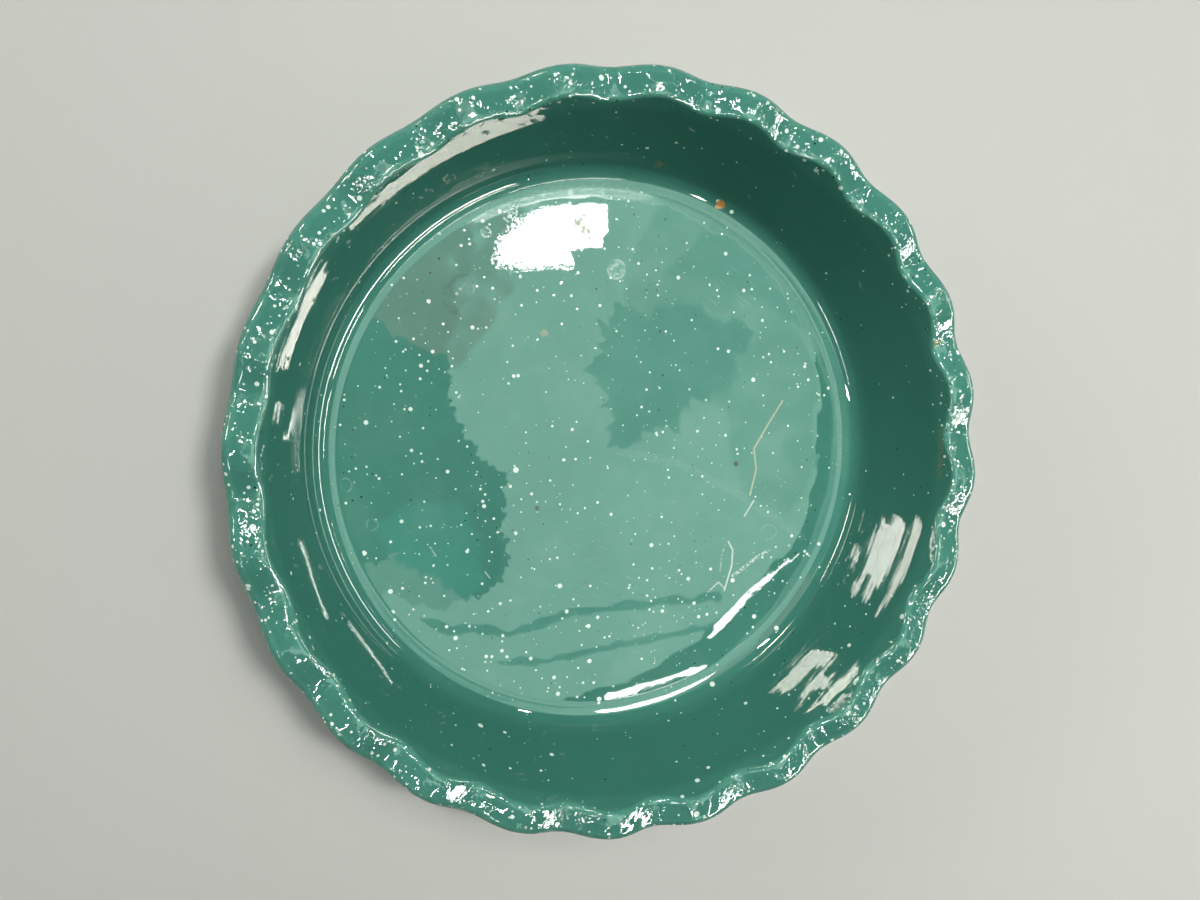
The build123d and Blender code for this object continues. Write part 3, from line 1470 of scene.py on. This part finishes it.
class Hanging(NamedTuple):
    """The plane that a panel hangs in: its middle, and its two directions."""

    middle: Place
    along: Place
    up: Place

    @classmethod
    def overhead(cls, height: float) -> "Hanging":
        """Level, at a height over the dish."""
        return cls((0.0, 0.0, height), (1.0, 0.0, 0.0), (0.0, 1.0, 0.0))

    @classmethod
    def between(cls, start: Place, end: Place) -> "Hanging":
        """Leaning towards the dish, along the line between two places.

        Args:
            start: The line's start.
            end: Its end.

        Returns:
            The plane, with its middle halfway along the line.
        """
        middle = (Vector(start) + Vector(end)) / 2
        along = (Vector(end) - Vector(start)).normalized()
        return cls(tuple(middle), tuple(along), tuple(middle.normalized().cross(along)))


class Grain(NamedTuple):
    """Gaps in a panel's glow: their size, the level of the noise over which it glows, and how softly."""

    size: float
    level: float
    softness: float = 0.03


@dataclass(frozen=True)
class Edge:
    """What makes a panel's edge uneven: waves of several lengths, whose strengths are random."""

    waves: tuple[int, ...] = (7, 13, 23, 41, 67, 103)
    weakest: float = 0.3
    strongest: float = 1.0
    falling: float = 0.45
    crest: float = 0.6

    def shift(self, turns: np.ndarray, seed: int) -> np.ndarray:
        """How far the edge stands out.

        Args:
            turns: How far round the panel each point is, as an angle.
            seed: What the random strengths start from.

        Returns:
            One number for each point.
        """
        generator = np.random.default_rng(seed)
        shift = np.zeros(len(turns))
        for waves in self.waves:
            strength = generator.uniform(self.weakest, self.strongest)
            strength *= (self.waves[0] / waves) ** self.falling
            shift += strength * (self.crest - np.abs(np.sin(waves * turns / 2 + generator.uniform(0, pi))))
        return shift


@dataclass(frozen=True)
class Panel:
    """A flat panel with an uneven edge that glows. Its corners lie along and up its plane."""

    name: str
    corners: tuple[Pair, ...]
    hanging: Hanging
    glow: Colour
    waver: float
    seed: int
    rounds: int = 60
    grain: Optional[Grain] = None
    parts: int = 600
    edge: Edge = Edge()

    def outline(self) -> np.ndarray:
        """The panel's edge, with its corners rounded off.

        Returns:
            One row for each point.
        """
        closed = np.array(self.corners + self.corners[:1])
        way = lengths(closed)
        steps = np.linspace(0, way[-1], self.parts, endpoint=False)
        points = np.column_stack([np.interp(steps, way, closed[:, axis]) for axis in (0, 1)])
        for _ in range(self.rounds):
            points = (np.roll(points, 1, axis=0) + points + np.roll(points, -1, axis=0)) / 3
        onward = np.roll(points, -1, axis=0) - np.roll(points, 1, axis=0)
        outward = np.column_stack((onward[:, 1], -onward[:, 0])) / np.linalg.norm(onward, axis=1)[:, None]
        shift = self.edge.shift(steps / way[-1] * FULL_TURN, self.seed)
        return points + outward * (self.waver * shift)[:, None]

    def material(self) -> bpy.types.Material:
        """Builds the panel's glow, with its gaps.

        Returns:
            The glow's material.
        """
        material, board = new_material(self.name + "_glow")
        sockets = {"Color": self.glow, "Strength": 1.0}
        shader = board.node("ShaderNodeEmission", {}, sockets).outputs["Emission"]
        if self.grain:
            clear = board.node("ShaderNodeBsdfTransparent", {}, {}).outputs["BSDF"]
            place = board.node("ShaderNodeTexCoord", {}, {}).outputs["Object"]
            level = self.grain.level
            noise = board.noise(place, self.grain.size * MM, detail=2.0)
            shown = noise.rising(level, level + self.grain.softness)
            shader = board.node("ShaderNodeMixShader", {}, {0: shown, 1: clear, 2: shader}).outputs["Shader"]
        board.node("ShaderNodeOutputMaterial", {}, {"Surface": shader})
        return material

    def build(self) -> bpy.types.Object:
        """Hangs the panel.

        Returns:
            The panel, which is only mirrored.
        """
        middle, along, up = (np.array(part) for part in self.hanging)
        corners = [tuple((middle + x * along + y * up) * MM) for x, y in self.outline()]
        panel = flat_sheet(self.name, corners, self.material())
        panel.visible_camera = panel.visible_shadow = panel.visible_diffuse = False
        return panel


def ribbon(points: Sequence[Pair], width: float) -> tuple[Pair, ...]:
    """The corners of a thin band.

    Args:
        points: The line that the band runs along.
        width: How wide it is.

    Returns:
        The corners, there along one edge and back along the other.
    """
    upper = [(x, y + width / 2) for x, y in points]
    lower = [(x, y - width / 2) for x, y in reversed(points)]
    return tuple(upper + lower)


FRONT_WALL = Hanging.between((950, -860, 1540), (600, -1330, 1360))
LEFT_BACK_WALL = Hanging.between((-1720, 700, 745), (-1340, 1285, 745))
BACK_WALL = Hanging.between((-500, 1770, 800), (-890, 1620, 770))

WALL_PANELS: tuple[Panel, ...] = (
    Panel(
        "front_window",
        corners=(
            (-312, -4), (-270, -5), (-180, -3.5), (-80, 4), (20, 5), (120, 4), (200, 0), (280, -6),
            (345, -11), (338, 0), (305, 16), (250, 21), (200, 32), (160, 48), (100, 56), (40, 54), (-20, 47),
            (-80, 47.5), (-140, 49), (-180, 44), (-230, 37), (-280, 26), (-305, 10),
        ),
        hanging=FRONT_WALL, glow=(84, 80, 70), waver=2.2, seed=21, rounds=3,
    ),
    Panel(
        "front_side_window",
        corners=(
            (-585, 2), (-550, -5), (-490, -20), (-455, -26.5), (-415, -24), (-400, -12.5), (-380, -6),
            (-440, -4), (-490, -2.5), (-535, 5), (-560, 17.5), (-590, 27.5), (-575, 12),
        ),
        hanging=FRONT_WALL, glow=(108, 103, 92), waver=1.8, seed=22, rounds=3,
    ),
    Panel(
        "left_back_window",
        corners=(
            (-375, 15), (-340, 32.5), (-280, 44), (-170, 46), (-50, 47), (60, 47), (140, 42.5), (200, 37.5),
            (245, 32.5), (200, 27.5), (200, 22.5), (280, 20), (350, 12.5), (385, 5), (330, 4), (260, 7.5),
            (190, 9), (140, 7.5), (150, 0), (200, -5), (280, -10), (350, -17.5), (390, -24), (340, -30),
            (260, -26), (180, -17.5), (100, -12.5), (0, -16), (-120, -19), (-220, -20), (-300, -25),
            (-350, -26), (-330, -14), (-285, -7.5), (-290, 5), (-350, 5), (-395, 1),
        ),
        hanging=LEFT_BACK_WALL, glow=(78, 74, 68), waver=2.2, seed=23, rounds=2,
    ),
    Panel(
        "left_back_column",
        corners=(
            (-440, 49), (-380, 65), (-300, 75), (-200, 80), (-80, 82.5), (50, 82.5), (180, 75), (300, 66),
            (400, 52.5), (455, 40), (380, 45), (280, 57.5), (180, 64), (60, 66), (-80, 66), (-200, 62.5),
            (-320, 55), (-400, 50),
        ),
        hanging=LEFT_BACK_WALL, glow=(66, 62, 56), waver=1.5, seed=24, rounds=2,
    ),
    Panel(
        "left_back_thread",
        corners=ribbon(
            (
                (-360, 91), (-250, 107.5), (-130, 118.5), (-50, 118.5), (60, 112.5), (180, 104), (300, 96),
            ),
            width=4,
        ),
        hanging=LEFT_BACK_WALL, glow=(60, 57, 50), waver=0.6, seed=25, rounds=2,
    ),
    Panel(
        "left_back_low_thread",
        corners=ribbon(((-340, -72.5), (-260, -65), (-155, -58.5)), width=3),
        hanging=LEFT_BACK_WALL, glow=(80, 76, 68), waver=0.5, seed=26, rounds=2,
    ),
    Panel(
        "left_back_low_line",
        corners=((-60, -50), (20, -40), (100, -37), (190, -39.5), (100, -45), (20, -49)),
        hanging=LEFT_BACK_WALL, glow=(90, 86, 78), waver=0.8, seed=27, rounds=2,
    ),
    Panel(
        "back_window",
        corners=(
            (-320, 25), (-250, 22.5), (-170, 20), (-110, 19), (-90, 22.5), (0, 26), (80, 25), (180, 30),
            (140, 22.5), (110, 17.5), (160, 10), (220, 9), (160, 2.5), (120, 5), (130, -3), (200, -10),
            (290, -15), (220, -21), (140, -20), (50, -14), (-20, -14), (-100, -12.5), (-160, -12.5),
            (-220, -2.5), (-275, 5), (-200, 11),
        ),
        hanging=BACK_WALL, glow=(72, 68, 60), waver=2.2, seed=31, rounds=2,
    ),
    Panel(
        "back_middle_window",
        corners=(
            (-290, -45), (-200, -44), (-130, -37.5), (-100, -31), (0, -26), (80, -27.5), (160, -31),
            (240, -27.5), (300, -21), (240, -34), (160, -36), (100, -40), (80, -50), (180, -57.5),
            (140, -60), (80, -62.5), (50, -72.5), (-10, -67.5), (0, -57.5), (40, -50), (-30, -50),
            (-60, -45), (-140, -46.5), (-220, -48.5),
        ),
        hanging=BACK_WALL, glow=(72, 68, 60), waver=1.5, seed=32, rounds=2,
    ),
    Panel(
        "back_low_window",
        corners=(
            (-240, -70), (-160, -72.5), (-60, -77.5), (40, -75.5), (160, -75.5), (280, -72.5), (350, -72.5),
            (290, -85), (220, -94), (140, -102.5), (40, -109), (-40, -107.5), (-90, -97.5), (-70, -89),
            (-140, -82.5), (-200, -76),
        ),
        hanging=BACK_WALL, glow=(76, 73, 63), waver=2, seed=33, rounds=2,
    ),
)

OVERHEAD_PANELS: tuple[Panel, ...] = (
    Panel(
        "left_opening_low",
        corners=(
            (-117, -206), (-47, -189), (15, -212), (32, -277), (24, -346), (-3, -374), (-58, -316),
            (-108, -277),
        ),
        hanging=Hanging.overhead(1204), glow=(0.35, 1.45, 1.25), waver=20, seed=34, rounds=40,
    ),
    Panel(
        "window",
        corners=(
            (252, 238), (280, 240), (337, 238), (358, 231), (360, 218), (352, 186), (341, 174), (338, 162),
            (309, 165), (282, 166), (286, 151), (279, 145), (246, 153), (222, 154), (182, 166), (166, 174),
            (170, 186), (184, 204), (206, 217), (226, 229),
        ),
        hanging=Hanging.overhead(1202), glow=(60, 60, 56), waver=3, seed=3, rounds=3,
    ),
    Panel(
        "window_shade",
        corners=(
            (305, 220), (317, 221), (318, 204), (326, 193), (332, 184), (318, 178), (302, 190), (284, 199),
            (296, 207),
        ),
        hanging=Hanging.overhead(1201), glow=(11, 8.5, 7), waver=5, seed=13, rounds=4,
        grain=Grain(size=12, level=0.4, softness=0.16),
    ),
    Panel(
        "window_grains",
        corners=(
            (215, 238), (193, 226), (170, 212), (156, 194), (148, 172), (154, 158), (180, 150), (215, 142),
            (250, 139), (286, 136), (286, 146), (250, 158), (205, 165), (190, 185), (215, 210), (250, 226),
            (300, 232), (300, 246), (255, 245),
        ),
        hanging=Hanging.overhead(1201.2), glow=(50, 50, 46), waver=3, seed=14, rounds=3,
        grain=Grain(size=4.5, level=0.53),
    ),
    Panel(
        "window_inner_grains",
        corners=(
            (230, 236), (204, 224), (182, 212), (168, 196), (158, 175), (162, 165), (190, 156), (215, 149),
            (250, 147), (286, 142), (286, 150), (250, 160), (205, 170), (190, 185), (215, 210), (250, 226),
            (300, 234), (300, 243), (260, 242),
        ),
        hanging=Hanging.overhead(1201.4), glow=(50, 50, 46), waver=3, seed=17, rounds=3,
        grain=Grain(size=4.5, level=0.44),
    ),
    Panel(
        "upper_edge_strip",
        corners=(
            (396, -552), (420, -534), (453, -511), (491, -488), (541, -465), (600, -443), (556, -466),
            (502, -492), (464, -516), (427, -544), (403, -556),
        ),
        hanging=Hanging.overhead(1202), glow=(27, 27, 25.5), waver=2.2, seed=15, rounds=4,
    ),
    Panel(
        "lower_edge_strip",
        corners=ribbon(((192, -609), (250, -609), (310, -608), (386, -604)), width=9),
        hanging=Hanging.overhead(1202), glow=(36, 36, 34), waver=2.2, seed=16, rounds=4,
    ),
    Panel(
        "canopy",
        corners=(
            (700, -50), (692, -174), (679, -252), (653, -354), (603, -428), (535, -474), (459, -506),
            (382, -552), (317, -591), (185, -591), (0, -600), (-150, -500), (-250, -350), (-300, -100),
            (-270, 120), (-100, 280), (100, 360), (300, 380), (500, 300), (630, 150), (690, 30),
        ),
        hanging=Hanging.overhead(1215), glow=(2.75, 4.05, 3.4), waver=13, seed=2,
    ),
    Panel(
        "grey_corner",
        corners=(
            (-140, 100), (-100, 200), (-30, 270), (70, 310), (160, 300), (130, 220), (100, 150), (70, 90),
            (30, 20), (0, 30),
        ),
        hanging=Hanging.overhead(1210), glow=(1.7, 1.2, 1.1), waver=14, seed=6,
        grain=Grain(size=55, level=0.22, softness=0.2),
    ),
    Panel(
        "grey_corner_edge",
        corners=(
            (-140, 100), (-100, 200), (-30, 270), (70, 310), (160, 340), (230, 300), (210, 180), (160, 100),
            (100, 50), (40, 0), (0, 30),
        ),
        hanging=Hanging.overhead(1212), glow=(2, 1.9, 1.7), waver=14, seed=6,
        grain=Grain(size=55, level=0.3, softness=0.3),
    ),
    Panel(
        "far_dimness",
        corners=(
            (360, 20), (380, 120), (440, 210), (520, 220), (600, 150), (670, 30), (690, -140), (660, -300),
            (580, -380), (520, -300), (500, -150), (460, -40),
        ),
        hanging=Hanging.overhead(1212), glow=(2, 3, 2.5), waver=14, seed=10,
        grain=Grain(size=70, level=0.26, softness=0.3),
    ),
    Panel(
        "left_opening_edge",
        corners=((20, -200), (70, -217), (40, -300), (-20, -380), (-100, -360), (-170, -280), (-120, -200)),
        hanging=Hanging.overhead(1208), glow=(1.6, 2.4, 1.95), waver=12, seed=4,
    ),
    Panel(
        "left_opening",
        corners=(
            (-59, 113), (-25, 93), (7, 61), (29, 27), (27, -12), (41, -56), (56, -110), (87, -178),
            (75, -217), (86, -283), (81, -325), (37, -367), (0, -360), (-30, -300), (-60, -250),
            (-130, -270), (-300, -200), (-320, 0), (-220, 140), (-120, 130),
        ),
        hanging=Hanging.overhead(1205), glow=(0.25, 0.55, 0.45), waver=30, seed=5, rounds=14,
    ),
    Panel(
        "right_opening",
        corners=(
            (310, 44), (292, -4), (285, -55), (287, -107), (299, -157), (322, -190), (356, -169),
            (415, -152), (488, -128), (545, -92), (578, -53), (571, -16), (516, 22), (431, 48), (366, 54),
        ),
        hanging=Hanging.overhead(1205), glow=(1.2, 2.1, 1.75), waver=26, seed=9, rounds=20,
    ),
    Panel(
        "far_opening",
        corners=((440, 100), (560, 60), (660, -20), (720, -100), (700, -30), (660, 80), (540, 170)),
        hanging=Hanging.overhead(1206), glow=(1.5, 2.5, 2.05), waver=10, seed=12,
    ),
    Panel(
        "upper_branch",
        corners=ribbon(
            (
                (-90, -385), (-46, -415), (51, -450), (138, -443), (224, -449), (333, -469), (434, -482),
            ),
            width=14,
        ),
        hanging=Hanging.overhead(1204), glow=(0.8, 1.6, 1.3), waver=8, seed=7, rounds=4,
    ),
    Panel(
        "lower_branch",
        corners=ribbon(
            (
                (21, -494), (102, -515), (188, -519), (254, -524), (344, -531), (413, -534),
            ),
            width=10,
        ),
        hanging=Hanging.overhead(1204), glow=(0.9, 1.7, 1.4), waver=6, seed=8, rounds=4,
    ),
)

LAMPS: tuple[Lamp, ...] = (
    Lamp(
        "overhead_lamp",
        start=(262, 203, 1200), end=(350, 203, 1200), depth=64, radiance=182, use=Use.LIGHTS,
    ),
    Lamp(
        "overhead_side_lamp",
        start=(175, 193, 1200), end=(262, 206, 1200), depth=66, radiance=182, use=Use.LIGHTS,
    ),
    Lamp(
        "soft_overhead_lamp",
        start=(-31, 379, 1200), end=(469, 379, 1200), depth=500, radiance=9.6, use=Use.LIGHTS,
    ),
    Lamp(
        "soft_side_lamp",
        start=(960, -670, 1130), end=(1165, -100, 1130), depth=600, radiance=1.1, use=Use.LIGHTS,
    ),
    Lamp(
        "soft_back_lamp",
        start=(-1750, 720, 750), end=(-1100, 1500, 750), depth=400, radiance=6, use=Use.LIGHTS,
    ),
    Lamp("right_glint_lamp", start=(678, 450, 1200), end=(800, 590, 1200), depth=35, radiance=170),
    Lamp("near_glint_lamp", start=(-72, 450, 1200), end=(-222, 712, 1200), depth=35, radiance=170),
    Lamp("left_glint_lamp", start=(-450, -197, 1200), end=(-750, -197, 1200), depth=35, radiance=170),
    Lamp("far_glint_lamp", start=(-47, -803, 1200), end=(-122, -933, 1200), depth=35, radiance=170),
    Lamp("front_mark", start=(1050, -578, 1610), end=(1130, -510, 1560), depth=10, radiance=120),
    Lamp("front_low_mark", start=(1110, -505, 1600), end=(1150, -440, 1570), depth=8, radiance=120),
    Lamp("front_high_mark", start=(1100, -580, 1560), end=(1130, -550, 1560), depth=7, radiance=110),
    Lamp("front_streak", start=(1265, -310, 1490), end=(1395, -80, 1405), depth=6, radiance=100),
    Lamp("front_low_streak", start=(1405, 0, 1425), end=(1470, 310, 1320), depth=5, radiance=100),
    Lamp("front_line_lamp", start=(649, -1606, 1000), end=(1113, -1327, 1000), depth=190, radiance=50),
    Lamp("front_line_end", start=(1113, -1327, 1000), end=(1540, -880, 930), depth=190, radiance=50),
    Lamp("side_line_lamp", start=(1582, -914, 813), end=(1790, -400, 813), depth=140, radiance=30),
    Lamp("side_line_middle", start=(1790, -400, 813), end=(1827, 80, 813), depth=160, radiance=26),
    Lamp("side_line_end", start=(1827, 80, 813), end=(1765, 473, 813), depth=120, radiance=30),
    Lamp("back_line_lamp", start=(-1155, -935, 1338), end=(-1324, -675, 1338), depth=80, radiance=45),
    Lamp("back_line_end", start=(-1324, -675, 1338), end=(-1442, -360, 1338), depth=50, radiance=45),
)


@dataclass
class Studio:
    """The pale floor, the soft room light, the panels and the lamps."""

    floor_radius: float = 5000.0
    floor_corners: int = 96
    room_colour: Colour = (0.8, 0.8, 0.8)
    room_light: float = 0.045
    room_white: float = 0.62
    floor: PaleFloor = PaleFloor()
    panels: tuple[Panel, ...] = WALL_PANELS + OVERHEAD_PANELS
    lamps: tuple[Lamp, ...] = LAMPS

    def build(self) -> None:
        """Sets up the floor, the room light, the panels and the lamps."""
        self.lay_floor()
        self.light_room()
        for panel in self.panels:
            panel.build()
        for lamp in self.lamps:
            lamp.build()

    def lay_floor(self) -> bpy.types.Object:
        """Lays the floor under the foot.

        Returns:
            The floor.
        """
        radius = self.floor_radius * MM
        turns = np.linspace(0, FULL_TURN, self.floor_corners, endpoint=False)
        edge = [(radius * cos(turn), radius * sin(turn), 0.0) for turn in turns]
        floor = flat_sheet("studio_floor", edge, self.floor.material())
        return floor

    def light_room(self) -> None:
        """Sets the even light of the room, and the pale backdrop that the camera sees."""
        world = bpy.data.worlds.new("soft_room")
        bpy.context.scene.world = world
        world.use_nodes = True
        board = Board(world.node_tree)
        seen = board.value("ShaderNodeLightPath", {}, {}, "Is Camera Ray")
        strength = self.room_light + (self.room_white - self.room_light) * seen
        background = board.node("ShaderNodeBackground", {}, {"Color": self.room_colour, "Strength": strength})
        board.node("ShaderNodeOutputWorld", {}, {"Surface": background.outputs["Background"]})


@dataclass
class TableCamera:
    """The camera, which looks steeply down into the dish.

    Its aim is the place that it looks at. Azimuth and tilt say from where, with the tilt from straight above.
    """

    aim: Place = (-10.76, 7.41, 49.5)
    distance: float = 317.8
    azimuth: float = 146.94
    tilt: float = 15.05
    roll: float = -10.944
    lens: float = 27.83
    sensor: float = 36.0
    nearest_seen: float = 10.0

    def build(self) -> bpy.types.Object:
        """Sets the camera up and makes it the scene's own.

        Returns:
            The camera.
        """
        azimuth, tilt, roll = radians(self.azimuth), radians(self.tilt), radians(self.roll)
        back = Vector((cos(azimuth) * sin(tilt), sin(azimuth) * sin(tilt), cos(tilt)))
        level = Vector((0.0, 1.0, 0.0))
        level = (level - back * level.dot(back)).normalized()
        beside = level.cross(back)
        right = beside * cos(roll) + level * sin(roll)
        up = level * cos(roll) - beside * sin(roll)
        data = bpy.data.cameras.new("table_camera")
        data.lens = self.lens
        data.sensor_width = self.sensor
        data.clip_start = self.nearest_seen * MM
        camera = bpy.data.objects.new("table_camera", data)
        place = (Vector(self.aim) + back * self.distance) * MM
        camera.matrix_world = Matrix.Translation(place) @ Matrix((right, up, back)).transposed().to_4x4()
        bpy.context.scene.collection.objects.link(camera)
        bpy.context.scene.camera = camera
        return camera


def main() -> None:
    """Builds the dish, the studio and the camera, and reports each."""
    logging.basicConfig(level=logging.INFO, format="%(message)s")
    log = logging.getLogger("pie_dish")
    bpy.context.scene.view_settings.view_transform = "Standard"
    dish = StonewareDish().build()
    log.info("%s: %d faces", dish.name, len(dish.data.polygons))
    studio = Studio()
    studio.build()
    log.info("studio: %d panels and %d lamps", len(studio.panels), len(studio.lamps))
    camera = TableCamera().build()
    log.info("%s: lens %.2f mm", camera.name, camera.data.lens)


if __name__ == "__main__":
    main()
